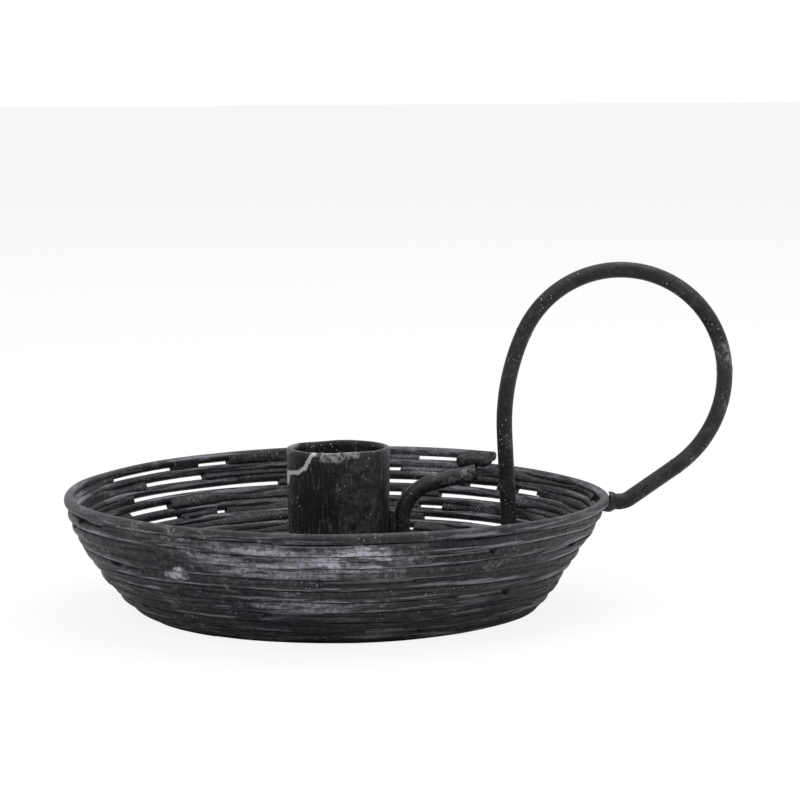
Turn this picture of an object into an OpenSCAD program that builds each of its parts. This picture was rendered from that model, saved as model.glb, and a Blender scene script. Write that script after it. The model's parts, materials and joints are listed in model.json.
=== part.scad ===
// Chamberstick wound from iron wire: a coiled dish with brazed turns, a candle cup, a bent rod
// handle and a side hook. Millimetres, +Z up. The origin is on the table, under the dish's centre.
// The handle stands to the right, in the XZ plane.

/* [Coiled dish] */
// Thickness of the wire that the dish is wound from
coil_wire_d = 2.4; // [2:0.1:3]
// Clear space from one turn to the next
coil_gap = 0.95; // [0.7:0.05:1.3]
// Radius of the flat floor, to the middle of the wire
floor_r = 45; // [42:0.5:48]
// Radius of the rim at the coil's end, to the middle of the wire
rim_r = 65.9; // [62:0.1:70]
// Radius of the bend from the floor into the wall
floor_bend_r = 4; // [3:0.5:6]
// Slope of the wall just above the floor bend, in degrees
wall_low_slope = 46; // [40:1:50]
// Slope of the wall at the rim, in degrees
wall_rim_slope = 66; // [60:1:72]
// Radius at which the spiral starts in the middle of the floor
coil_start_r = 4; // [3.5:0.5:8]
// Direction in which the coil's cut end points out, in degrees round from the handle
coil_end_angle = 52; // [45:1:60]
// Depth of the flat that wear has left under the floor's turns
worn_flat = 0.5; // [0.3:0.1:0.7]

/* [Brazing] */
// Thickness of the braze between two turns
braze_t = 1.2; // [0.8:0.1:1.3]
// Size of the lumps of weld at the rim
lump_r = 2.6; // [2.2:0.1:3]
// Size of the fillets at the feet of the cup, the handle and the hook
fillet_r = 1.4; // [1:0.1:1.6]
// Clearance left where a piece seats on its neighbour
seat = 0.1; // [0.05:0.01:0.15]

/* [Candle cup] */
// Bore for the candle
cup_bore_d = 22.4; // [20:0.1:23]
// Outside of the cup at its mouth
cup_mouth_d = 24.8; // [24.6:0.1:27]
// Outside of the cup at its foot
cup_foot_d = 23.7; // [23.5:0.1:25]
// Height of the cup
cup_h = 39; // [32:0.5:45]

/* [Handle] */
// Thickness of the rod of the handle and the hook
rod_d = 3.8; // [3:0.1:4.4]
// Distance from the floor's edge in to the handle's foot
handle_inset = 3.3; // [3:0.1:5]
// Lean of the handle's leg towards the cup, in degrees
leg_lean = 2.6; // [1:0.1:4]
// Radius of the easy bend above the leg
shoulder_r = 53; // [46:1:58]
// Turn of that bend, in degrees
shoulder_turn = 27; // [24:1:30]
// Radius of the bow at the top
bow_r = 25.2; // [23:0.1:27]
// Turn of the bow, in degrees
bow_turn = 153; // [148:1:156]
// Radius of the bend that comes back under the bow
return_r = 27; // [24:1:30]
// Turn of that bend, in degrees
return_turn = 58; // [54:1:60]
// Radius of the last bend, into the rim
tail_bend_r = 4.5; // [4:0.5:6]
// Straight run at the rod's end, where it butts on the rim
tail_run = 1.5; // [1:0.1:2.5]

/* [Side hook] */
// Gap between the cup and the hook's shank, which the weld fills
hook_gap = 0.9; // [0.6:0.1:1.4]
// Length of the straight shank
hook_shank = 18.3; // [14:0.1:22]
// Radius of the hook's bend
hook_bend_r = 9.5; // [7:0.1:11]
// Turn of the hook's bend, in degrees
hook_turn = 77; // [65:1:88]
// Length of the hook's finger, to its cut end
hook_finger = 10.8; // [8:0.1:13]
// Height of the weld's foot on the shank
hook_weld_rise = 14; // [10:0.5:15]
// Length of the weld between the cup and the shank
hook_weld_h = 7; // [4:0.5:9]

/* [Hidden] */

iron_colour = [0.17, 0.17, 0.19];
worn_colour = [0.28, 0.28, 0.26];
cup_colour = [0.13, 0.14, 0.13];
braze_colour = [0.21, 0.20, 0.20];

ring_fn = 96;
wire_fn = 24;
rod_fn = 40;
lump_fn = 40;

// Sizes that follow from the driving ones
wire_r = coil_wire_d / 2;
rod_r = rod_d / 2;
coil_pitch = coil_wire_d + coil_gap;
floor_z = wire_r - worn_flat;
floor_top = floor_z + wire_r;
seat_z = floor_top + seat;
cup_bore_r = cup_bore_d / 2;
cup_mouth_r = cup_mouth_d / 2;
cup_foot_r = cup_foot_d / 2;
cup_lip_r = (cup_mouth_r - cup_bore_r) / 2;

// The wall's section: an arc from the floor, then a long arc that steepens up to the rim
wall_r = (rim_r - floor_r - floor_bend_r * sin(wall_low_slope)) / (sin(wall_rim_slope) - sin(wall_low_slope));
bend_len = arc_length(floor_bend_r, wall_low_slope);
wall_len = arc_length(wall_r, wall_rim_slope - wall_low_slope);
coil_len = floor_r + bend_len + wall_len;
half_turns = floor(2 * (coil_len - coil_start_r) / coil_pitch);

// Places on the coil are given as turns below the rim and degrees back from its cut end
handle_phi = 360 - coil_end_angle;

// Spaces left open in each valley between two wall turns, from the rim down.
// Each is a start and an end in degrees back from the coil's cut end.
wall_slots = [
    [[0, 19], [65, 73], [80, 101], [150, 162], [205, 221], [303, 313]],
    [[23, 26], [72, 90], [140, 150], [236, 252], [342, 350], [356, 360]],
    [[0, 5], [17, 26], [53, 96], [268, 284], [348, 360]],
    [[0, 12], [22, 26], [84, 99], [160, 172], [215, 235]],
    [[10, 17], [68, 71], [82, 95], [300, 316], [350, 360]],
    [[0, 15], [130, 144], [247, 262]],
    [[17, 20], [95, 108], [200, 214], [325, 338]],
    [[60, 74], [160, 176], [280, 298]],
    [[30, 42], [120, 136], [225, 240], [320, 334]],
    [[75, 90], [190, 205], [290, 306]]
];
wall_valleys = len(wall_slots);
floor_valleys = floor(half_turns / 2) - wall_valleys - 1;

// In the floor the open spaces are alike and step round from one valley to the next
floor_slot_angle = 46;
floor_slots_per_turn = 3;
floor_step_angle = 37;
floor_groups = 3;

function arc_length(r, angle) = r * angle * PI / 180;

// Radius and height of the wire's middle at a length along the section, from the centre out
function section(s) =
    s < floor_r ? [s, floor_z]
    : s < floor_r + bend_len ? floor_bend(180 * (s - floor_r) / (PI * floor_bend_r))
    : wall(wall_low_slope + 180 * (s - floor_r - bend_len) / (PI * wall_r));

function floor_bend(a) = [floor_r + floor_bend_r * sin(a), floor_z + floor_bend_r * (1 - cos(a))];

function wall(a) = floor_bend(wall_low_slope)
    + wall_r * [sin(a) - sin(wall_low_slope), cos(wall_low_slope) - cos(a)];

function coil_at(turn, phi) = section(coil_len - coil_pitch * (turn + phi / 360));

// Each half turn is a true arc from one joint to the next, tilted so that its ends meet its
// neighbours in line
function joint(h) = coil_at(0, 180 * h);
function arc_r(p, q) = norm([p[0] + q[0], p[1] - q[1]]) / 2;
function arc_tilt(p, q, odd) = (odd ? 1 : -1) * atan2(p[1] - q[1], p[0] + q[0]);
function arc_shift(p, q, odd) = (odd ? -1 : 1) * (p[0] - q[0]) / 2;

// The coil's middle line at an angle along half turn h, for measuring
function coil_point(h, a) =
    let (
        p = joint(h),
        q = joint(h + 1),
        odd = h % 2 == 1,
        tilt = arc_tilt(p, q, odd),
        r = arc_r(p, q),
        turn = odd ? a + 180 : a
    )
    [
        arc_shift(p, q, odd) + r * cos(turn) * cos(tilt),
        r * sin(turn),
        (p[1] + q[1]) / 2 - r * cos(turn) * sin(tilt)
    ];

// The wire is drawn a hair thinner on every other half turn, whose ends run on into the next
wire_unevenness = 0.06;
wire_lap = 0.6;

measure_step = 7.5;
least_gap = min([
    for (h = [0 : half_turns - 3], a = [0 : measure_step : 180])
        norm(coil_point(h, a) - coil_point(h + 2, a))
]) - coil_wire_d;
echo(turns = half_turns / 2, least_gap_between_turns = least_gap);

module in_coil_frame() {
    rotate([0, 0, coil_end_angle])
        children();
}

// A half turn of a 2D profile, from the joint p to the lower joint q, or a stretch of it
module half_ring(p, q, odd, from = 0, to = 180) {
    translate([arc_shift(p, q, odd), 0, (p[1] + q[1]) / 2])
        rotate([0, arc_tilt(p, q, odd), 0])
            rotate_extrude(angle = to - from, start = odd ? 180 + from : from, $fn = ring_fn)
                translate([arc_r(p, q), 0])
                    children();
}

// The wire's section, thinner all round by inset, and flat below wherever it would reach
// under the table
module wire_section(height, inset) {
    if (height < wire_r)
        difference() {
            circle(wire_r - inset, $fn = wire_fn);
            translate([-wire_r, inset - wire_r - height])
                square([2 * wire_r, wire_r]);
        }
    else
        circle(wire_r - inset, $fn = wire_fn);
}

module dish_coil() {
    color(iron_colour)
        in_coil_frame()
            for (h = [0 : half_turns - 1]) {
                odd = h % 2 == 1;
                lap = odd ? 180 * wire_lap / (PI * arc_r(joint(h), joint(h + 1))) : 0;
                half_ring(joint(h), joint(h + 1), odd, -lap, 180 + lap)
                    wire_section(joint(h + 1)[1], odd ? wire_unevenness : 0);
            }
}

// The braze in one valley hugs the turn above it and the turn below it
module braze_section(h) {
    above = joint(h) + joint(h + 1);
    below = joint(h + 2) + joint(h + 3);
    spacing = norm(above - below) / 2;
    rotate(atan2(above[1] - below[1], above[0] - below[0]))
        difference() {
            square([spacing, braze_t], center = true);
            for (side = [-1, 1])
                translate([side * spacing / 2, 0])
                    circle(wire_r + seat, $fn = wire_fn);
        }
}

// Ends of the brazed runs in half turn h, going round between the open slots
function run_marks(h, slots) =
    let (low = 180 * (h % 2), high = low + 180)
    concat(
        [0],
        [for (s = slots) if (s[0] < high && s[1] > low) each [max(s[0], low) - low, min(s[1], high) - low]],
        [180]
    );

module valley_braze(valley, slots) {
    for (h = [2 * valley, 2 * valley + 1]) {
        marks = run_marks(h, slots);
        p = (joint(h) + joint(h + 2)) / 2;
        q = (joint(h + 1) + joint(h + 3)) / 2;
        for (i = [0 : 2 : len(marks) - 2])
            if (marks[i + 1] > marks[i])
                half_ring(p, q, h % 2 == 1, marks[i], marks[i + 1])
                    braze_section(h);
    }
}

module wall_braze(number) {
    color(braze_colour)
        in_coil_frame()
            valley_braze(number - 1, wall_slots[number - 1]);
}

function floor_slots(valley) =
    let (
        share = 360 / floor_slots_per_turn,
        start = (valley * floor_step_angle) % (share - floor_slot_angle)
    )
    [for (n = [0 : floor_slots_per_turn - 1]) [start + n * share, start + n * share + floor_slot_angle]];

// The floor's valleys are shared out in rings, from the wall inwards
module floor_braze(group) {
    first = wall_valleys + floor(floor_valleys * group / floor_groups);
    last = wall_valleys + floor(floor_valleys * (group + 1) / floor_groups) - 1;
    color(braze_colour)
        in_coil_frame()
            for (valley = [first : last])
                valley_braze(valley, floor_slots(valley));
}

// The outside of the cup, a little larger by grow
module cup_outside(grow = 0) {
    translate([0, 0, seat_z])
        cylinder(h = cup_h, r1 = cup_foot_r + grow, r2 = cup_mouth_r + grow, $fn = ring_fn);
}

module candle_cup() {
    color(cup_colour)
        translate([0, 0, seat_z])
            rotate_extrude($fn = ring_fn) {
                polygon([
                    [cup_bore_r, 0],
                    [cup_foot_r, 0],
                    [cup_mouth_r, cup_h - cup_lip_r],
                    [cup_bore_r, cup_h - cup_lip_r]
                ]);
                translate([cup_bore_r + cup_lip_r, cup_h - cup_lip_r])
                    circle(cup_lip_r, $fn = wire_fn);
            }
}

// The rod is a hair thicker where each bend ends and the next piece of it starts
bend_ring_t = 0.06;
bend_ring_h = 0.6;

// A rod bent in one plane. Each bend is a straight run, then a radius and a turn towards +X.
module bent_rod(bends, i = 0) {
    if (i < len(bends)) {
        run = bends[i][0];
        bend_r = bends[i][1];
        turn = bends[i][2];
        if (run > 0)
            cylinder(h = run, r = rod_r, $fn = rod_fn);
        if (i > 0)
            cylinder(h = bend_ring_h, r = rod_r + bend_ring_t, center = true, $fn = rod_fn);
        translate([0, 0, run]) {
            if (turn > 0)
                translate([bend_r, 0, 0])
                    rotate([90, 0, 0])
                        rotate_extrude(angle = turn, start = 180 - turn, $fn = ring_fn)
                            translate([bend_r, 0])
                                circle(rod_r, $fn = rod_fn);
            translate([bend_r, 0, 0])
                rotate([0, turn, 0])
                    translate([-bend_r, 0, 0])
                        bent_rod(bends, i + 1);
        }
    }
}

// Where the handle starts, on the floor, and where it ends, against the rim
handle_foot = [floor_r - handle_inset, seat_z];
handle_end = [coil_at(0, handle_phi)[0] + wire_r + seat, coil_at(0.5, handle_phi)[1]];

// The way travelled along an arc, as the heading goes from one angle to another from upright
function arc_way(r, from, to) = r * [cos(from) - cos(to), sin(to) - sin(from)];

// The leg and the return run are as long as it takes for both ends to meet the dish
leg_heading = -leg_lean;
shoulder_heading = leg_heading + shoulder_turn;
bow_heading = shoulder_heading + bow_turn;
return_heading = bow_heading + return_turn;
end_heading = 270;
handle_way = handle_end - handle_foot
    - arc_way(shoulder_r, leg_heading, shoulder_heading)
    - arc_way(bow_r, shoulder_heading, bow_heading)
    - arc_way(return_r, bow_heading, return_heading)
    - arc_way(tail_bend_r, return_heading, end_heading)
    - tail_run * [sin(end_heading), cos(end_heading)];
heading_cross = sin(leg_heading - return_heading);
leg_run = (handle_way[0] * cos(return_heading) - handle_way[1] * sin(return_heading)) / heading_cross;
return_run = (handle_way[1] * sin(leg_heading) - handle_way[0] * cos(leg_heading)) / heading_cross;

module handle_loop() {
    color(worn_colour)
        translate([handle_foot[0], 0, handle_foot[1]])
            rotate([0, leg_heading, 0])
                bent_rod([
                    [leg_run, shoulder_r, shoulder_turn],
                    [0, bow_r, bow_turn],
                    [0, return_r, return_turn],
                    [return_run, tail_bend_r, end_heading - return_heading],
                    [tail_run, 0, 0]
                ]);
}

hook_x = cup_mouth_r + hook_gap + rod_r;

module snuffer_hook() {
    color(worn_colour)
        translate([hook_x, 0, seat_z])
            bent_rod([
                [hook_shank, hook_bend_r, hook_turn],
                [hook_finger, 0, 0]
            ]);
}

// The space that the turns take up near a place on the coil, with the seat's clearance
module turns_near(phi, turns) {
    reach = 6 * lump_r;
    rotate([0, 0, phi])
        for (turn = turns)
            translate([coil_at(turn, phi)[0], 0, coil_at(turn, phi)[1]])
                rotate([90, 0, 0])
                    cylinder(h = reach, r = wire_r + 2 * seat, center = true, $fn = wire_fn);
}

// Lumps of weld that hold the coil's cut end to the next turn, on the inside of the wall
end_lumps = [[1.5, 0.45, 0.8], [4.5, 0.6, 0.9], [7, 0.7, 0.75]];

module coil_end_weld() {
    color(braze_colour)
        in_coil_frame()
            difference() {
                for (lump = end_lumps)
                    rotate([0, 0, lump[0]])
                        translate([
                            coil_at(lump[1], lump[0])[0] - wire_r * sin(wall_rim_slope),
                            0,
                            coil_at(lump[1], lump[0])[1] + wire_r * cos(wall_rim_slope)
                        ])
                            sphere(lump_r * lump[2], $fn = lump_fn);
                turns_near(end_lumps[1][0], [0, 1, 2]);
            }
}

module handle_rim_weld() {
    color(braze_colour)
        difference() {
            translate([handle_end[0] - seat, 0, handle_end[1]])
                sphere(lump_r, $fn = lump_fn);
            translate([handle_end[0] - seat, 0, handle_end[1]])
                rotate([0, 90, 0])
                    cylinder(h = 2 * lump_r, r = rod_r + seat, $fn = rod_fn);
            in_coil_frame()
                turns_near(handle_phi, [0, 1, 2]);
        }
}

// A fillet of braze round a foot of radius r, with the seat's clearance inside. The inset carries
// it further in, where a leaning foot is then cut out of it.
module fillet_section(r, inset = 0) {
    land = 2 * seat;
    difference() {
        translate([r + seat - inset, 0])
            square([fillet_r + land + inset, fillet_r + land]);
        translate([r + seat + land + fillet_r, land + fillet_r])
            circle(fillet_r, $fn = lump_fn);
    }
}

module handle_foot_weld() {
    lean_inset = 4 * seat;
    cut_h = 4 * fillet_r;
    color(braze_colour)
        difference() {
            translate([handle_foot[0], 0, seat_z])
                rotate_extrude($fn = lump_fn)
                    fillet_section(rod_r, lean_inset);
            translate([handle_foot[0], 0, seat_z])
                rotate([0, leg_heading, 0])
                    cylinder(h = cut_h, r = rod_r + seat, center = true, $fn = rod_fn);
        }
}

module hook_foot_weld() {
    color(braze_colour)
        difference() {
            translate([hook_x, 0, seat_z])
                rotate_extrude($fn = lump_fn)
                    fillet_section(rod_r);
            cup_outside(seat);
        }
}

// The weld stands in the gap between the cup and the shank
module hook_cup_weld() {
    weld_w = 0.7 * rod_d;
    color(braze_colour)
        difference() {
            translate([cup_foot_r, -weld_w / 2, seat_z + hook_weld_rise])
                cube([hook_x - cup_foot_r, weld_w, hook_weld_h]);
            cup_outside(seat);
            translate([hook_x, 0, seat_z])
                cylinder(h = 2 * hook_shank, r = rod_r + seat, $fn = rod_fn);
        }
}

// Three runs of braze round the cup's foot, clear of the hook
cup_braze_runs = [[35, 120], [150, 215], [245, 325]];

module cup_foot_braze() {
    color(braze_colour)
        translate([0, 0, seat_z])
            for (run = cup_braze_runs)
                rotate_extrude(angle = run[1] - run[0], start = run[0], $fn = ring_fn)
                    fillet_section(cup_foot_r + 2 * seat);
}

dish_coil();
candle_cup();
handle_loop();
snuffer_hook();
coil_end_weld();
handle_rim_weld();
handle_foot_weld();
hook_cup_weld();
hook_foot_weld();
cup_foot_braze();
wall_braze(1);  // wall_braze_1
wall_braze(2);  // wall_braze_2
wall_braze(3);  // wall_braze_3
wall_braze(4);  // wall_braze_4
wall_braze(5);  // wall_braze_5
wall_braze(6);  // wall_braze_6
wall_braze(7);  // wall_braze_7
wall_braze(8);  // wall_braze_8
wall_braze(9);  // wall_braze_9
wall_braze(10);  // wall_braze_10
floor_braze(0);  // floor_braze_outer
floor_braze(1);  // floor_braze_middle
floor_braze(2);  // floor_braze_inner
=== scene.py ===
"""Looks of the chamberstick: a wire-wound iron dish, its candle cup, carrying loop and side hook."""

import json
import logging
import math
from dataclasses import dataclass
from enum import Enum

import bmesh
import bpy
from mathutils import Matrix, Vector, noise


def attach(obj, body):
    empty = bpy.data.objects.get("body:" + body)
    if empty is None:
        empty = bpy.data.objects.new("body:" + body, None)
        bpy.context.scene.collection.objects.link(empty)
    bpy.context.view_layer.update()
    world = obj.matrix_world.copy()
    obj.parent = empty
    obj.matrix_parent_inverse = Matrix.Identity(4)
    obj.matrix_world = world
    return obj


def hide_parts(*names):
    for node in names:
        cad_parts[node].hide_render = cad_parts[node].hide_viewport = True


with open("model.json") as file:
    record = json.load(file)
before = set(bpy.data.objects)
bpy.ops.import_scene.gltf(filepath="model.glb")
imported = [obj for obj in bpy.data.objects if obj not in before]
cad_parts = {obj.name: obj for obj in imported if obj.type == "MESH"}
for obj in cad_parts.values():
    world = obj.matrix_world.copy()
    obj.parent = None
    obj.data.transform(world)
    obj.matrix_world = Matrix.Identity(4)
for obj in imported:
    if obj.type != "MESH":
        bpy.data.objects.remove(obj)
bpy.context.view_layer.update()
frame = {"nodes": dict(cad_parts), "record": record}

log = logging.getLogger("chamberstick")
BODY = "root"
WELD_DISTANCE = 1e-7
CUT_ROUNDS = 4
SHARP_ANGLE = 50.0
Triple = tuple[float, float, float]


class Slot(Enum):
    """The record's material slots."""

    COIL = "coil_iron"
    ROD = "rod_iron"
    CUP = "cup_coating"
    BRAZE = "braze_metal"
    WELD = "weld_metal"


class Graph:
    """A node tree under construction, with short ways to add and join its nodes."""

    def __init__(self, tree: bpy.types.NodeTree) -> None:
        """Keeps the tree that the nodes go into."""
        self.tree = tree

    def add(self, kind: str, **settings: object) -> bpy.types.Node:
        """Adds a node.

        Args:
            kind: The node's type name.
            settings: Properties of the node, by name.

        Returns:
            The new node.
        """
        node = self.tree.nodes.new(kind)
        for name, value in settings.items():
            setattr(node, name, value)
        return node

    def feed(self, node: bpy.types.Node, **values: object) -> bpy.types.Node:
        """Sets or links inputs of a node.

        Args:
            node: The node whose inputs are fed.
            values: A number, colour or output socket for each input, with _ for a space in its name.

        Returns:
            The same node.
        """
        for name, value in values.items():
            socket = node.inputs[name.replace("_", " ")]
            if isinstance(value, bpy.types.NodeSocket):
                self.tree.links.new(value, socket)
            else:
                socket.default_value = value
        return node

    def math(self, operation: str, first: object, second: object = 0.0) -> bpy.types.NodeSocket:
        """Adds a math node and gives its result.

        Args:
            operation: The node's operation.
            first: The first number or socket.
            second: The second number or socket.

        Returns:
            The output socket.
        """
        node = self.add("ShaderNodeMath", operation=operation)
        for place, value in enumerate((first, second)):
            if isinstance(value, bpy.types.NodeSocket):
                self.tree.links.new(value, node.inputs[place])
            else:
                node.inputs[place].default_value = value
        return node.outputs[0]

    def noise(self, vector: bpy.types.NodeSocket, scale: object, detail: float,
              roughness: float = 0.55) -> bpy.types.NodeSocket:
        """Adds a noise texture and gives its value.

        Args:
            vector: Where the noise is read.
            scale: Cells per metre.
            detail: Octaves.
            roughness: How much the fine octaves count.

        Returns:
            The output socket, from 0 to 1.
        """
        node = self.feed(self.add("ShaderNodeTexNoise"), Vector=vector, Scale=scale,
                         Detail=detail, Roughness=roughness)
        return node.outputs["Fac"]

    def ramp(self, value: bpy.types.NodeSocket, low: object, high: object) -> bpy.types.NodeSocket:
        """Turns a value into a soft mask, from 0 at low to 1 at high.

        Args:
            value: The value that is read.
            low: Where the mask starts.
            high: Where the mask is full.

        Returns:
            The output socket.
        """
        node = self.add("ShaderNodeMapRange", interpolation_type="SMOOTHSTEP")
        self.feed(node, Value=value, From_Min=low, From_Max=high)
        return node.outputs["Result"]

    def blend(self, share: bpy.types.NodeSocket, first: object, second: object) -> bpy.types.NodeSocket:
        """Mixes two colours.

        Args:
            share: How much of the second colour shows.
            first: The first colour or socket.
            second: The second colour or socket.

        Returns:
            The mixed colour's socket.
        """
        node = self.add("ShaderNodeMix", data_type="RGBA")
        self.tree.links.new(share, node.inputs[0])
        for socket, value in ((node.inputs[6], first), (node.inputs[7], second)):
            if isinstance(value, bpy.types.NodeSocket):
                self.tree.links.new(value, socket)
            else:
                socket.default_value = (*value, 1.0)
        return node.outputs[2]


class Effects:
    """The effects that several finishes share, each a node group that is built once."""

    def __init__(self) -> None:
        """Builds the groups."""
        self.grain = self.build_grain()
        self.scuffs = self.build_scuffs()
        self.specks = self.build_specks()
        self.patch = self.build_patch()
        self.streaks = self.build_streaks()
        self.crack = self.build_crack()

    @staticmethod
    def start(name: str, inputs: dict[str, float | None], output: str) -> tuple[Graph, bpy.types.Node]:
        """Starts a group with its sockets.

        Args:
            name: The group's name.
            inputs: A default for each number, or None for a vector.
            output: The name of its one output.

        Returns:
            The graph and its input node.
        """
        tree = bpy.data.node_groups.new(name, "ShaderNodeTree")
        for label, default in inputs.items():
            kind = "NodeSocketVector" if default is None else "NodeSocketFloat"
            socket = tree.interface.new_socket(label, in_out="INPUT", socket_type=kind)
            if default is not None:
                socket.default_value = default
        tree.interface.new_socket(output, in_out="OUTPUT", socket_type="NodeSocketFloat")
        graph = Graph(tree)
        return graph, graph.add("NodeGroupInput")

    @staticmethod
    def close(graph: Graph, result: bpy.types.NodeSocket) -> bpy.types.NodeTree:
        """Links the result to the group's output and returns the tree."""
        end = graph.add("NodeGroupOutput")
        graph.tree.links.new(result, end.inputs[0])
        return graph.tree

    def build_grain(self) -> bpy.types.NodeTree:
        """Builds the height of scaled iron: a coarse swell, a fine grain and small pits."""
        graph, given = self.start("grain_relief", {"Vector": None, "Scale": 1500.0, "Pits": 0.5}, "Height")
        place, scale = given.outputs["Vector"], given.outputs["Scale"]
        swell = graph.noise(place, graph.math("MULTIPLY", scale, 0.3), 2.0)
        fine = graph.noise(place, scale, 4.0, 0.65)
        cells = graph.add("ShaderNodeTexVoronoi")
        graph.feed(cells, Vector=place, Scale=graph.math("MULTIPLY", scale, 0.6))
        holes = graph.ramp(cells.outputs["Distance"], 0.32, 0.12)
        pitted = graph.math("MULTIPLY", holes, given.outputs["Pits"])
        swelled = graph.math("ADD", graph.math("MULTIPLY", swell, 0.8), fine)
        return self.close(graph, graph.math("SUBTRACT", swelled, pitted))

    def build_scuffs(self) -> bpy.types.NodeTree:
        """Builds the mask of worn places, broken up by a fine grain."""
        graph, given = self.start("pale_scuffs", {"Vector": None, "Scale": 90.0, "Cover": 0.3}, "Mask")
        place, scale = given.outputs["Vector"], given.outputs["Scale"]
        where = graph.noise(place, scale, 5.0, 0.6)
        torn = graph.noise(place, graph.math("MULTIPLY", scale, 11.0), 3.0, 0.7)
        edge = graph.math("SUBTRACT", 0.78, graph.math("MULTIPLY", given.outputs["Cover"], 0.45))
        large = graph.ramp(where, edge, graph.math("ADD", edge, 0.09))
        small = graph.ramp(torn, 0.42, 0.62)
        return self.close(graph, graph.math("MULTIPLY", large, small))

    def build_specks(self) -> bpy.types.NodeTree:
        """Builds the mask of small round specks, a share of them left out by a noise."""
        graph, given = self.start("specks", {"Vector": None, "Scale": 1100.0, "Size": 0.2}, "Mask")
        place, size = given.outputs["Vector"], given.outputs["Size"]
        cells = graph.add("ShaderNodeTexVoronoi")
        graph.feed(cells, Vector=place, Scale=given.outputs["Scale"])
        dots = graph.ramp(cells.outputs["Distance"], size, graph.math("MULTIPLY", size, 0.55))
        wide = graph.math("MULTIPLY", given.outputs["Scale"], 0.13)
        some = graph.ramp(graph.noise(place, wide, 2.0), 0.52, 0.62)
        return self.close(graph, graph.math("MULTIPLY", dots, some))

    def build_patch(self) -> bpy.types.NodeTree:
        """Builds the mask of one place: full at its centre, ragged and gone at its reach."""
        graph, given = self.start("patch", {"Vector": None, "Centre": None, "Reach": None}, "Mask")
        apart = graph.add("ShaderNodeVectorMath", operation="SUBTRACT")
        shrunk = graph.add("ShaderNodeVectorMath", operation="DIVIDE")
        size = graph.add("ShaderNodeVectorMath", operation="LENGTH")
        links = graph.tree.links
        links.new(given.outputs["Vector"], apart.inputs[0])
        links.new(given.outputs["Centre"], apart.inputs[1])
        links.new(apart.outputs["Vector"], shrunk.inputs[0])
        links.new(given.outputs["Reach"], shrunk.inputs[1])
        links.new(shrunk.outputs["Vector"], size.inputs[0])
        ragged = graph.math("MULTIPLY", graph.noise(given.outputs["Vector"], 520.0, 4.0, 0.6), 0.9)
        far = graph.math("ADD", size.outputs["Value"], graph.math("SUBTRACT", ragged, 0.45))
        return self.close(graph, graph.ramp(far, 1.0, 0.55))


    def build_streaks(self) -> bpy.types.NodeTree:
        """Builds the mask of streaks that run round the dish's axis, as wear along a wound wire does."""
        graph, given = self.start("wire_streaks", {"Vector": None, "Long": 3.2, "Fine": 900.0, "Low": 0.51,
                                                   "High": 0.61}, "Mask")
        parts = graph.feed(graph.add("ShaderNodeSeparateXYZ"), Vector=given.outputs["Vector"]).outputs
        squares = graph.math("ADD", graph.math("MULTIPLY", parts["X"], parts["X"]),
                             graph.math("MULTIPLY", parts["Y"], parts["Y"]))
        reach = graph.math("MAXIMUM", graph.math("SQRT", squares), 0.0005)
        turned = graph.add("ShaderNodeCombineXYZ")
        for axis in ("X", "Y"):
            aimed = graph.math("DIVIDE", parts[axis], reach)
            graph.feed(turned, **{axis: graph.math("MULTIPLY", aimed, given.outputs["Long"])})
        rise = graph.math("ADD", parts["Z"], graph.math("MULTIPLY", reach, 0.6))
        graph.feed(turned, Z=graph.math("MULTIPLY", rise, given.outputs["Fine"]))
        value = graph.noise(turned.outputs["Vector"], 1.0, 5.0, 0.68)
        return self.close(graph, graph.ramp(value, given.outputs["Low"], given.outputs["High"]))

    def build_crack(self) -> bpy.types.NodeTree:
        """Builds the mask of a ragged line on the front, from one point to another, seen along +Y."""
        sockets = {"Vector": None, "From": None, "To": None, "Width": 0.0004}
        graph, given = self.start("front_crack", sockets, "Mask")
        flat = {}
        for label in ("Vector", "From", "To"):
            node = graph.add("ShaderNodeVectorMath", operation="MULTIPLY")
            graph.tree.links.new(given.outputs[label], node.inputs[0])
            node.inputs[1].default_value = (1.0, 0.0, 1.0)
            flat[label] = node.outputs["Vector"]
        away = self.vector_math(graph, "SUBTRACT", flat["Vector"], flat["From"]).outputs["Vector"]
        span = self.vector_math(graph, "SUBTRACT", flat["To"], flat["From"]).outputs["Vector"]
        across = self.vector_math(graph, "DOT_PRODUCT", away, span).outputs["Value"]
        whole = self.vector_math(graph, "DOT_PRODUCT", span, span).outputs["Value"]
        share = graph.math("MINIMUM", graph.math("MAXIMUM", graph.math("DIVIDE", across, whole), 0.0), 1.0)
        nearest = graph.add("ShaderNodeVectorMath", operation="SCALE")
        graph.tree.links.new(span, nearest.inputs[0])
        graph.feed(nearest, Scale=share)
        apart = self.vector_math(graph, "SUBTRACT", away, nearest.outputs["Vector"])
        far = self.vector_math(graph, "LENGTH", apart.outputs["Vector"], None).outputs["Value"]
        ragged = graph.math("MULTIPLY", graph.noise(given.outputs["Vector"], 1500.0, 4.0, 0.7), 2.2)
        widths_away = graph.math("DIVIDE", far, given.outputs["Width"])
        line = graph.ramp(graph.math("ADD", widths_away, ragged), 2.2, 1.7)
        parts = graph.feed(graph.add("ShaderNodeSeparateXYZ"), Vector=given.outputs["Vector"]).outputs
        return self.close(graph, graph.math("MULTIPLY", line, graph.ramp(parts["Y"], 0.0, -0.0005)))

    @staticmethod
    def vector_math(graph: Graph, operation: str, first: bpy.types.NodeSocket,
                    second: bpy.types.NodeSocket | None) -> bpy.types.Node:
        """Adds a vector math node between two sockets, or on one, and returns it."""
        node = graph.add("ShaderNodeVectorMath", operation=operation)
        graph.tree.links.new(first, node.inputs[0])
        if second is not None:
            graph.tree.links.new(second, node.inputs[1])
        return node


@dataclass(frozen=True)
class WearAndHighlight:
    """A pale place, in metres, and how much of it: mostly wear where the black has gone, and on the dish's
    front crests a painted highlight together with wear.
    """

    centre: Triple
    reach: Triple
    share: float


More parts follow.
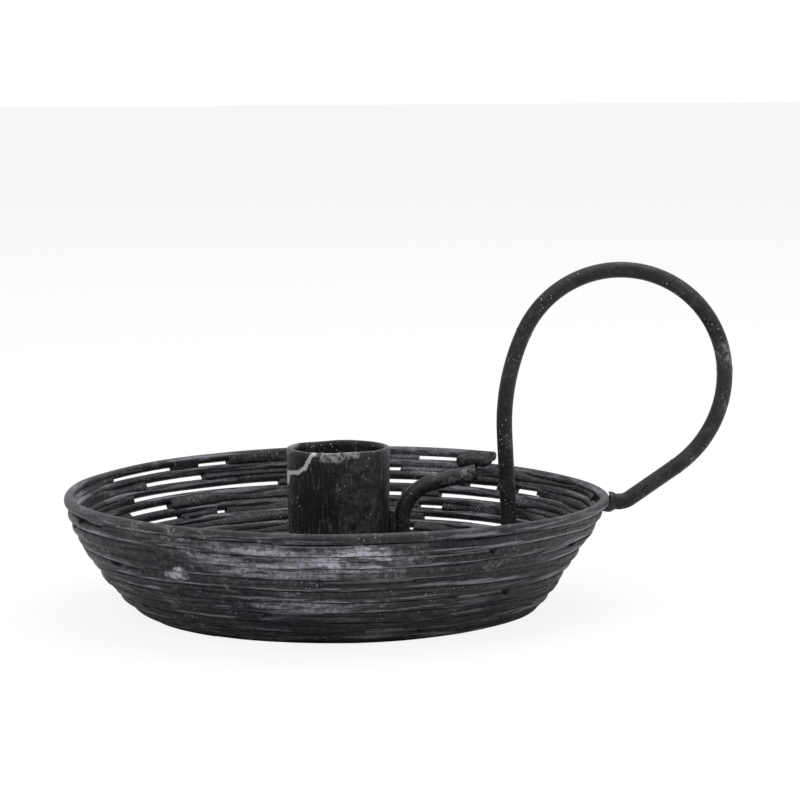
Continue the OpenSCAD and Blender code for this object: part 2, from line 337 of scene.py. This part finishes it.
@dataclass(frozen=True)
class IronFinish:
    """Blackened iron: a dark ground that turns brown in places, scuffed pale, with grain and specks, and pale
    spots of wear, one of them a painted highlight on the dish's front crests.
    """

    slot: Slot
    black: Triple
    brown: Triple
    pale: Triple
    grain_scale: float
    grain_depth: float
    pits: float
    scuff_cover: float
    speck_size: float
    roughness: float
    dust: float = 0.06
    streak_share: float = 0.0
    drip_share: float = 0.0
    wear_and_highlight: tuple[WearAndHighlight, ...] = ()
    cracks: tuple[tuple[float, float], ...] = ()
    crack_width: float = 0.00052

    def build(self, effects: Effects) -> bpy.types.Material:
        """Makes the material.

        Args:
            effects: The shared effect groups.

        Returns:
            The new material.
        """
        material = bpy.data.materials.new(self.slot.value + "_finish")
        material.use_nodes = True
        graph = Graph(material.node_tree)
        shader = material.node_tree.nodes["Principled BSDF"]
        place = graph.add("ShaderNodeTexCoord").outputs["Object"]
        drift = graph.ramp(graph.noise(place, 45.0, 3.0), 0.4, 0.68)
        ground = graph.blend(drift, self.black, self.brown)
        dusty = graph.ramp(graph.noise(place, 700.0, 5.0, 0.7), 0.46, 0.74)
        ground = graph.blend(graph.math("MULTIPLY", dusty, self.dust), ground, self.pale)
        mask = self.masks(graph, effects, place)
        graph.feed(shader, Base_Color=graph.blend(mask, ground, self.pale))
        uneven = graph.math("MULTIPLY", graph.noise(place, 400.0, 3.0), 0.24)
        rough = graph.math("ADD", self.roughness - 0.12, uneven)
        graph.feed(shader, Roughness=rough, Metallic=0.0, Specular_IOR_Level=0.2)
        relief = graph.feed(self.group(graph, effects.grain), Vector=place,
                            Scale=self.grain_scale, Pits=self.pits)
        bump = graph.feed(graph.add("ShaderNodeBump"), Strength=1.0,
                          Distance=self.grain_depth, Height=relief.outputs["Height"])
        graph.feed(shader, Normal=bump.outputs["Normal"])
        return material

    def masks(self, graph: Graph, effects: Effects, place: bpy.types.NodeSocket) -> bpy.types.NodeSocket:
        """Joins the scuffs, the specks and the pale spots into one mask; the spots are wear, and on the
        dish's front crests a painted highlight together with wear.

        Args:
            graph: The material's graph.
            effects: The shared effect groups.
            place: The object coordinates.

        Returns:
            The mask's socket.
        """
        scuffs = graph.feed(self.group(graph, effects.scuffs), Vector=place, Cover=self.scuff_cover)
        specks = graph.feed(self.group(graph, effects.specks), Vector=place, Size=self.speck_size)
        mask = graph.math("MAXIMUM", graph.math("MULTIPLY", scuffs.outputs["Mask"], 0.35),
                          graph.math("MULTIPLY", specks.outputs["Mask"], 0.6))
        streaks = graph.feed(self.group(graph, effects.streaks), Vector=place).outputs["Mask"]
        crest = graph.add("ShaderNodeAttribute", attribute_name="crest").outputs["Fac"]
        rubbed = graph.math("MULTIPLY", graph.math("ADD", graph.math("MULTIPLY", crest, 0.75), 0.25), streaks)
        mask = graph.math("MAXIMUM", mask, graph.math("MULTIPLY", rubbed, self.streak_share))
        broad = graph.feed(self.group(graph, effects.streaks), Vector=place, Long=5.0, Fine=420.0,
                           Low=0.36, High=0.6).outputs["Mask"]
        fine = graph.ramp(graph.noise(place, 900.0, 5.0, 0.75), 0.36, 0.62)
        torn = graph.math("MULTIPLY", broad, graph.math("ADD", graph.math("MULTIPLY", fine, 0.7), 0.3))
        if self.drip_share:
            tall = graph.feed(graph.add("ShaderNodeMapping"), Vector=place, Scale=(1.0, 1.0, 0.14))
            drips = graph.ramp(graph.noise(tall.outputs["Vector"], 1500.0, 5.0, 0.72), 0.53, 0.70)
            mask = graph.math("MAXIMUM", mask, graph.math("MULTIPLY", drips, self.drip_share))
        # Pale spots: wear, and on the dish's front crests a painted highlight laid over the wear.
        for spot in self.wear_and_highlight:
            patch = graph.feed(self.group(graph, effects.patch), Vector=place,
                               Centre=spot.centre, Reach=spot.reach)
            part = graph.math("MULTIPLY", graph.math("MULTIPLY", patch.outputs["Mask"], torn), spot.share)
            mask = graph.math("MAXIMUM", mask, part)
        for start, end in zip(self.cracks, self.cracks[1:]):
            line = graph.feed(self.group(graph, effects.crack), Vector=place, From=(start[0], 0.0, start[1]),
                              To=(end[0], 0.0, end[1]), Width=self.crack_width)
            mask = graph.math("MAXIMUM", mask, line.outputs["Mask"])
        return mask

    @staticmethod
    def group(graph: Graph, tree: bpy.types.NodeTree) -> bpy.types.Node:
        """Places a shared effect in the material and returns its node."""
        return graph.add("ShaderNodeGroup", node_tree=tree)


COIL_FINISH = IronFinish(
    slot=Slot.COIL, black=(0.0065, 0.0068, 0.0100), brown=(0.024, 0.022, 0.019), pale=(0.40, 0.39, 0.45),
    grain_scale=1700.0, grain_depth=0.00012, pits=0.4, scuff_cover=0.4, speck_size=0.22, roughness=0.47,
    dust=0.08, streak_share=0.38,
    wear_and_highlight=(
        # The first two spots make the pale band across the front crests below the rim: a painted highlight
        # together with wear. The other spots are wear.
        WearAndHighlight((-0.012, -0.060, 0.0215), (0.034, 0.014, 0.0058), 0.8),
        WearAndHighlight((0.0025, -0.060, 0.0225), (0.013, 0.012, 0.0040), 1.5),
        WearAndHighlight((-0.036, -0.043, 0.0170), (0.0038, 0.010, 0.0028), 2.4),
        WearAndHighlight((-0.004, -0.056, 0.0105), (0.020, 0.012, 0.0022), 0.7),
        WearAndHighlight((-0.060, 0.004, 0.0270), (0.006, 0.012, 0.0040), 0.6),
        WearAndHighlight((0.026, 0.058, 0.0270), (0.020, 0.010, 0.0045), 0.5),
    ),
)
ROD_FINISH = IronFinish(
    slot=Slot.ROD, black=(0.008, 0.008, 0.0095), brown=(0.024, 0.022, 0.019), pale=(0.40, 0.39, 0.40),
    grain_scale=1300.0, grain_depth=0.00014, pits=0.5, scuff_cover=0.42, speck_size=0.24, roughness=0.46,
    dust=0.07,
)
CUP_FINISH = IronFinish(
    slot=Slot.CUP, black=(0.0055, 0.0070, 0.0065), brown=(0.010, 0.0115, 0.010), pale=(0.56, 0.54, 0.56),
    grain_scale=1100.0, grain_depth=0.00010, pits=0.25, scuff_cover=0.2, speck_size=0.24, roughness=0.42,
    dust=0.02, drip_share=0.2,
    wear_and_highlight=(
        WearAndHighlight((-0.0015, -0.0122, 0.0379), (0.0075, 0.0060, 0.0019), 0.75),
        WearAndHighlight((0.0060, -0.0110, 0.0260), (0.0080, 0.0060, 0.0150), 0.10),
        WearAndHighlight((-0.0110, 0.0034, 0.0384), (0.0030, 0.0035, 0.0012), 0.55),
    ),
    cracks=((-0.0122, 0.0304), (-0.0119, 0.0329), (-0.0095, 0.0335), (-0.0080, 0.0347),
            (-0.0066, 0.0375), (-0.0057, 0.0383)),
)
BRAZE_FINISH = IronFinish(
    slot=Slot.BRAZE, black=(0.0095, 0.0090, 0.0125), brown=(0.028, 0.025, 0.024), pale=(0.40, 0.39, 0.44),
    grain_scale=2000.0, grain_depth=0.00020, pits=0.7, scuff_cover=0.45, speck_size=0.24, roughness=0.55,
    dust=0.10, streak_share=0.22,
    # The coil's pale spots, the painted highlight band on the front crests among them.
    wear_and_highlight=COIL_FINISH.wear_and_highlight,
)
WELD_FINISH = IronFinish(
    slot=Slot.WELD, black=(0.010, 0.0095, 0.011), brown=(0.028, 0.026, 0.023), pale=(0.30, 0.29, 0.31),
    grain_scale=1500.0, grain_depth=0.00022, pits=0.7, scuff_cover=0.5, speck_size=0.26, roughness=0.55,
    dust=0.22,
)
FINISHES = (COIL_FINISH, ROD_FINISH, CUP_FINISH, BRAZE_FINISH, WELD_FINISH)


@dataclass
class Studio:
    """The plain studio: a pale floor, soft lamps, a white surround and the photo's camera. Metres."""

    camera_place: Triple = (0.0, -0.691, 0.1338)
    camera_aim: Triple = (0.01488, 0.0, 0.04962)
    camera_roll: float = -0.37
    lens: float = 130.9
    sensor: float = 36.0
    floor_half: float = 6.0
    floor_colour: Triple = (0.86, 0.86, 0.86)
    fill_level: float = 0.4
    floor_glow: float = 0.88

    def build(self) -> None:
        """Makes the whole studio."""
        self.build_camera()
        self.build_floor()
        self.build_world()
        self.build_lamp("lamp_key", (-0.55, -0.75, 1.15), 0.9, 9.0)
        self.build_lamp("lamp_top", (0.25, 0.25, 1.30), 1.0, 13.0)
        self.build_lamp("lamp_side", (1.15, -0.35, 0.75), 0.9, 4.0)
        bpy.context.scene.view_settings.view_transform = "Standard"
        log.info("studio: camera, floor, surround and three lamps")

    def build_camera(self) -> None:
        """Makes the camera at the photo's viewing angle."""
        data = bpy.data.cameras.new("photo_view")
        data.lens = self.lens
        data.sensor_width = self.sensor
        data.clip_start = 0.01
        camera = bpy.data.objects.new("photo_view", data)
        place = Vector(self.camera_place)
        turn = (Vector(self.camera_aim) - place).to_track_quat("-Z", "Y").to_matrix().to_4x4()
        roll = Matrix.Rotation(math.radians(self.camera_roll), 4, "Z")
        camera.matrix_world = Matrix.Translation(place) @ turn @ roll
        bpy.context.scene.collection.objects.link(camera)
        bpy.context.scene.camera = camera

    def build_floor(self) -> None:
        """Makes the pale floor, which the camera sees as white but for the shadow."""
        bpy.ops.mesh.primitive_plane_add(size=2 * self.floor_half)
        floor = bpy.context.object
        floor.name = "studio_floor"
        material = bpy.data.materials.new("floor_pale")
        material.use_nodes = True
        graph = Graph(material.node_tree)
        graph.tree.nodes.clear()
        matte = graph.feed(graph.add("ShaderNodeBsdfDiffuse"), Color=(*self.floor_colour, 1.0))
        glow = graph.feed(graph.add("ShaderNodeEmission"), Strength=1.0)
        ray = graph.add("ShaderNodeLightPath").outputs["Is Camera Ray"]
        mix = graph.add("ShaderNodeMixShader")
        graph.tree.links.new(graph.math("MULTIPLY", ray, self.floor_glow), mix.inputs[0])
        graph.tree.links.new(matte.outputs[0], mix.inputs[1])
        graph.tree.links.new(glow.outputs[0], mix.inputs[2])
        end = graph.add("ShaderNodeOutputMaterial")
        graph.tree.links.new(mix.outputs[0], end.inputs["Surface"])
        floor.data.materials.append(material)

    def build_world(self) -> None:
        """Makes the surround: white to the eye and in reflections, dimmer as a light."""
        world = bpy.data.worlds.new("studio_surround")
        world.use_nodes = True
        graph = Graph(world.node_tree)
        graph.tree.nodes.clear()
        path = graph.add("ShaderNodeLightPath").outputs
        seen = graph.math("MAXIMUM", path["Is Camera Ray"], path["Is Glossy Ray"])
        seen = graph.math("MAXIMUM", seen, path["Is Transmission Ray"])
        rest = 1.0 - self.fill_level
        strength = graph.math("ADD", graph.math("MULTIPLY", seen, rest), self.fill_level)
        sky = graph.feed(graph.add("ShaderNodeBackground"), Color=(1.0, 1.0, 1.0, 1.0), Strength=strength)
        end = graph.add("ShaderNodeOutputWorld")
        graph.tree.links.new(sky.outputs[0], end.inputs["Surface"])
        bpy.context.scene.world = world

    def build_lamp(self, name: str, place: Triple, size: float, watts: float) -> None:
        """Makes a square area lamp that points at the object.

        Args:
            name: The lamp's name.
            place: Where it hangs.
            size: Its side.
            watts: Its power.
        """
        data = bpy.data.lights.new(name, "AREA")
        data.energy = watts
        data.size = size
        lamp = bpy.data.objects.new(name, data)
        aim = Vector(self.camera_aim) - Vector(place)
        lamp.matrix_world = Matrix.Translation(place) @ aim.to_track_quat("-Z", "Y").to_matrix().to_4x4()
        bpy.context.scene.collection.objects.link(lamp)


class Dresser:
    """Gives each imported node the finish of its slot."""

    def __init__(self, effects: Effects) -> None:
        """Makes the material of each finish."""
        self.materials = {finish.slot.value: finish.build(effects) for finish in FINISHES}

    def dress(self, piece: bpy.types.Object, slot: str) -> None:
        """Puts a slot's material on a piece.

        Args:
            piece: The piece to dress.
            slot: The record's slot name.
        """
        piece.data.materials.clear()
        piece.data.materials.append(self.materials[slot])
        log.info("%s wears %s", piece.name, slot)

    def dress_nodes(self) -> None:
        """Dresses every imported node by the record's own list."""
        for row in frame["record"]["subparts"]:
            self.dress(frame["nodes"][row["node"]], row["material_slot"])


def smooth_share(low: float, high: float, value: float) -> float:
    """Gives 0 below low, 1 above high and a smooth rise between them."""
    share = min(max((value - low) / (high - low), 0.0), 1.0)
    return share * share * (3.0 - 2.0 * share)


def hand_noise(x: float, y: float, z: float) -> float:
    """Gives a repeatable noise from -1 to 1 at a point."""
    return noise.noise(Vector((x, y, z)))


def finer_copy(node: str, longest: float) -> bmesh.types.BMesh:
    """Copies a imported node's mesh, joins its triangles and cuts its long edges.

    Args:
        node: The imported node.
        longest: The edge length above which edges are cut, in metres.

    Returns:
        The new mesh in work.
    """
    shape = bmesh.new()
    shape.from_mesh(frame["nodes"][node].data)
    bmesh.ops.remove_doubles(shape, verts=shape.verts, dist=WELD_DISTANCE)
    for _ in range(CUT_ROUNDS):
        long_edges = [edge for edge in shape.edges if edge.calc_length() > longest]
        if not long_edges:
            break
        bmesh.ops.subdivide_edges(shape, edges=long_edges, cuts=1)
        bmesh.ops.triangulate(shape, faces=[face for face in shape.faces if len(face.verts) > 3])
    return shape


def finish_piece(shape: bmesh.types.BMesh, slot: Slot, dresser: Dresser, *nodes: str) -> None:
    """Turns a worked mesh into a piece that stands for its nodes.

    Args:
        shape: The mesh, which is freed.
        slot: The slot of its finish.
        dresser: What dresses it.
        nodes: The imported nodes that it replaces.
    """
    name = nodes[0] + "_worked"
    mesh = bpy.data.meshes.new(name)
    shape.normal_update()
    shape.to_mesh(mesh)
    shape.free()
    mesh.shade_smooth()
    mesh.set_sharp_from_angle(angle=math.radians(SHARP_ANGLE))
    piece = bpy.data.objects.new(name, mesh)
    bpy.context.scene.collection.objects.link(piece)
    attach(piece, BODY)
    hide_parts(*nodes)
    dresser.dress(piece, slot.value)


@dataclass(frozen=True)
class DishSection:
    """The dish's section along its wall: a flat floor, a bend and a steepening wall. Metres and degrees."""

    floor_z: float = 0.0007
    floor_r: float = 0.0450
    bend_r: float = 0.0040
    low_slope: float = 46.0
    wall_r: float = 0.0928
    length: float = 0.0806
    pitch: float = 0.00335
    wire_r: float = 0.0012
    end_angle: float = 52.0

    def wall_start(self) -> tuple[float, float, float, float]:
        """Gives the wall's slope in radians, the length to it, and its centre's radius and height."""
        low = math.radians(self.low_slope)
        reach = self.floor_r + (self.bend_r - self.wall_r) * math.sin(low)
        height = self.floor_z + self.bend_r + (self.wall_r - self.bend_r) * math.cos(low)
        return low, self.floor_r + self.bend_r * low, reach, height

    def locate(self, reach: float, height: float) -> tuple[float, float]:
        """Finds a point's length along the section and its depth into the bowl.

        Args:
            reach: The point's distance from the dish's axis.
            height: Its height.

        Returns:
            The length and the depth.
        """
        if reach <= self.floor_r:
            return reach, height - self.floor_z
        low, start, wall_reach, wall_height = self.wall_start()
        centre = self.floor_z + self.bend_r
        slope = math.atan2(reach - self.floor_r, centre - height)
        if slope <= low:
            away = math.hypot(reach - self.floor_r, centre - height)
            return self.floor_r + self.bend_r * slope, self.bend_r - away
        slope = math.atan2(reach - wall_reach, wall_height - height)
        depth = self.wall_r - math.hypot(reach - wall_reach, wall_height - height)
        return start + self.wall_r * (slope - low), depth

    def place(self, along: float, depth: float) -> tuple[float, float]:
        """Gives the distance from the axis and the height at a length and depth, as locate finds them."""
        if along <= self.floor_r:
            return along, self.floor_z + depth
        low, start, wall_reach, wall_height = self.wall_start()
        if along <= start:
            slope = (along - self.floor_r) / self.bend_r
            arm = self.bend_r - depth
            return self.floor_r + arm * math.sin(slope), self.floor_z + self.bend_r - arm * math.cos(slope)
        slope = low + (along - start) / self.wall_r
        arm = self.wall_r - depth
        return wall_reach + arm * math.sin(slope), wall_height - arm * math.cos(slope)


@dataclass
class WoundDish:
    """The wound wire and its braze, with the unevenness of a dish made by hand. Metres."""

    dresser: Dresser
    section: DishSection = DishSection()
    rim_z: float = 0.0286
    rim_drawn_in: float = 0.00105
    rim_to_left: float = 0.00025
    belly_to_left: float = 0.0012
    turn_spread: float = 0.00030
    turn_depth: float = 0.00038
    fill: float = 1.05
    lump: float = 0.00016
    valleys: int = 10
    grain_edge: float = 0.00075
    coarse_grain: float = 900.0
    fine_grain: float = 2300.0

    def build(self) -> None:
        """Makes the wire, the braze of each valley and the welds on the rim."""
        self.rework("dish_coil", Slot.COIL, 0.0, 0.000035, math.inf)
        for valley in range(1, self.valleys + 1):
            self.rework(f"wall_braze_{valley}", Slot.BRAZE, self.fill, self.lump, self.grain_edge)
        for node in ("coil_end_weld", "handle_rim_weld"):
            self.rework(node, Slot.WELD, 0.0, self.lump, self.grain_edge)

    def rework(self, node: str, slot: Slot, fill: float, lump: float, longest: float) -> None:
        """Makes one node again with the hand's unevenness.

        Args:
            node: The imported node.
            slot: The slot of its finish.
            fill: How far its braze may swell between the turns.
            lump: The height of its lumps.
            longest: The edge length above which edges are cut.
        """
        shape = finer_copy(node, longest)
        crest = shape.verts.layers.float.new("crest")
        for vert in shape.verts:
            vert.co, vert[crest] = self.moved(vert.co, fill, lump)
        finish_piece(shape, slot, self.dresser, node)

    def drift(self, azimuth: float, turn: float) -> tuple[float, float]:
        """Gives how far a turn strays along the section and into the bowl at an azimuth."""
        x, y = 2.1 * math.cos(azimuth), 2.1 * math.sin(azimuth)
        return (self.turn_spread * hand_noise(x, y, 1.37 * turn),
                self.turn_depth * hand_noise(x + 9.0, y, 1.61 * turn + 4.0))

    def moved(self, point: Vector, fill: float, lump: float) -> tuple[Vector, float]:
        """Moves a point of the true spiral to where the hand left it.

        Args:
            point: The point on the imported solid.
            fill: How far braze may swell here.
            lump: The height of lumps here.

        Returns:
            The new point, and how near it is to a crest of its turn, from 0 to 1.
        """
        section = self.section
        azimuth = math.atan2(point.y, point.x)
        along, depth = section.locate(math.hypot(point.x, point.y), point.z)
        crest = smooth_share(0.55, 1.0, abs(depth) / section.wire_r)
        on_wall = smooth_share(section.floor_r - 0.004, section.floor_r + 0.008, along)
        share = (math.degrees(azimuth) - section.end_angle) % 360.0 / 360.0
        turns = (section.length - along) / section.pitch - share
        lower = math.floor(turns)
        between = smooth_share(0.36, 0.64, turns - lower)
        first = self.drift(azimuth, lower + share)
        second = self.drift(azimuth, lower + 1.0 + share)
        if fill:
            along, depth = self.swelled(along, depth, azimuth, turns, fill)
        coarse = hand_noise(*(point * self.coarse_grain))
        fine = hand_noise(*(point * self.fine_grain))
        grain = lump * (coarse + 0.5 * fine)
        along += on_wall * (first[0] + (second[0] - first[0]) * between)
        depth += on_wall * (first[1] + (second[1] - first[1]) * between)
        depth += math.copysign(grain, depth)
        reach, height = section.place(along, depth)
        reach += self.oval(azimuth, min(max(height / self.rim_z, 0.0), 1.0))
        return Vector((reach * math.cos(azimuth), reach * math.sin(azimuth), max(height, 0.0))), crest

    def swelled(self, along: float, depth: float, azimuth: float, turns: float,
                fill: float) -> tuple[float, float]:
        """Swells braze towards the crests, and keeps its sides on the wire.

        Args:
            along: The point's length along the section.
            depth: Its depth.
            azimuth: Its azimuth.
            turns: Its place counted in turns.
            fill: The most that the depth grows by, as a share.

        Returns:
            The new length and depth.
        """
        section = self.section
        side = math.copysign(5.0, depth)
        rise = hand_noise(3.4 * math.cos(azimuth) + side, 3.4 * math.sin(azimuth), 1.9 * turns + side)
        new_depth = depth * (1.0 + fill * smooth_share(-0.45, 0.4, rise))
        nearest = round(turns)
        apart = (turns - nearest) * section.pitch
        on_wire = 1.0 - smooth_share(1.04, 1.3, math.hypot(apart, depth) / section.wire_r)
        limit = math.sqrt(max(section.wire_r ** 2 - new_depth ** 2, 0.0))
        pulled = math.copysign(min(abs(apart), limit), apart)
        return along + (apart - pulled) * on_wire, new_depth

    def oval(self, azimuth: float, rise: float) -> float:
        """Gives how far the wall lies outside its true circle at a share of its height."""
        drawn = (self.rim_to_left * math.cos(azimuth) - self.rim_drawn_in) * rise ** 2
        return drawn - self.belly_to_left * math.cos(azimuth) * 4.0 * rise * (1.0 - rise)


@dataclass
class CandleCup:
    """The plain tube, with the photo's lower and uneven lip. Metres."""

    dresser: Dresser
    bore_r: float = 0.0112
    foot_r: float = 0.01185
    mouth_r: float = 0.0124
    foot_z: float = 0.0020
    lip_z: float = 0.0385
    lip_round: float = 0.00025
    steps: int = 120
    rows: int = 34
    lip_uneven: float = 0.00030
    dent: float = 0.00012

    def build(self) -> None:
        """Spins the tube's section, cuts it into rows and makes it uneven."""
        shape = bmesh.new()
        low, high, soft = self.foot_z, self.lip_z, self.lip_round
        corners = ((self.bore_r, low), (self.foot_r, low), (self.mouth_r, high - soft),
                   (self.mouth_r - soft, high), (self.bore_r + soft, high), (self.bore_r, high - soft))
        verts = [shape.verts.new((reach, 0.0, height)) for reach, height in corners]
        edges = [shape.edges.new(pair) for pair in zip(verts, verts[1:] + verts[:1])]
        walls = [edge for edge in edges if edge.calc_length() > self.lip_z / 2.0]
        bmesh.ops.subdivide_edges(shape, edges=walls, cuts=self.rows)
        bmesh.ops.spin(shape, geom=shape.verts[:] + shape.edges[:], cent=(0, 0, 0), axis=(0, 0, 1),
                       angle=math.tau, steps=self.steps, use_merge=True)
        bmesh.ops.remove_doubles(shape, verts=shape.verts, dist=WELD_DISTANCE)
        bmesh.ops.recalc_face_normals(shape, faces=shape.faces)
        for vert in shape.verts:
            vert.co = self.moved(vert.co)
        finish_piece(shape, Slot.CUP, self.dresser, "candle_cup")

    def moved(self, point: Vector) -> Vector:
        """Gives where a point of the true tube lies on the dented one."""
        azimuth = math.atan2(point.y, point.x)
        x, y = math.cos(azimuth), math.sin(azimuth)
        rise = smooth_share(self.lip_z - 0.006, self.lip_z, point.z)
        lift = self.lip_uneven * rise * hand_noise(1.2 * x, 1.2 * y, 3.0)
        push = self.dent * hand_noise(1.1 * x, 1.1 * y, point.z * 90.0)
        return point + Vector((push * x, push * y, lift))


@dataclass
class Deposits:
    """The welds and the braze that don't follow the wall, with a lumpy skin. Metres."""

    dresser: Dresser
    longest: float = 0.0006
    lump: float = 0.00020
    coarse_lumps: float = 620.0
    fine_lumps: float = 1700.0

    def build(self) -> None:
        """Makes each deposit again with lumps along its own normals."""
        slots = {"handle_foot_weld": Slot.WELD, "hook_foot_weld": Slot.WELD,
                 "hook_cup_weld": Slot.WELD, "cup_foot_braze": Slot.BRAZE}
        for node, slot in slots.items():
            shape = finer_copy(node, self.longest)
            shape.normal_update()
            places = [vert.co + vert.normal * self.height(vert.co) for vert in shape.verts]
            for vert, place in zip(shape.verts, places):
                vert.co = Vector((place.x, place.y, max(place.z, 0.0)))
            finish_piece(shape, slot, self.dresser, node)

    def height(self, point: Vector) -> float:
        """Gives the height of the lumps at a point."""
        coarse = hand_noise(*(point * self.coarse_lumps))
        fine = hand_noise(*(point * self.fine_lumps))
        return self.lump * (coarse + 0.6 * fine)


def main() -> None:
    """Builds the studio and dresses the chamberstick."""
    logging.basicConfig(level=logging.INFO, format="%(message)s")
    Studio().build()
    dresser = Dresser(Effects())
    dresser.dress_nodes()
    for assembly in (WoundDish(dresser), CandleCup(dresser), Deposits(dresser)):
        assembly.build()


if __name__ == "__main__":
    main()
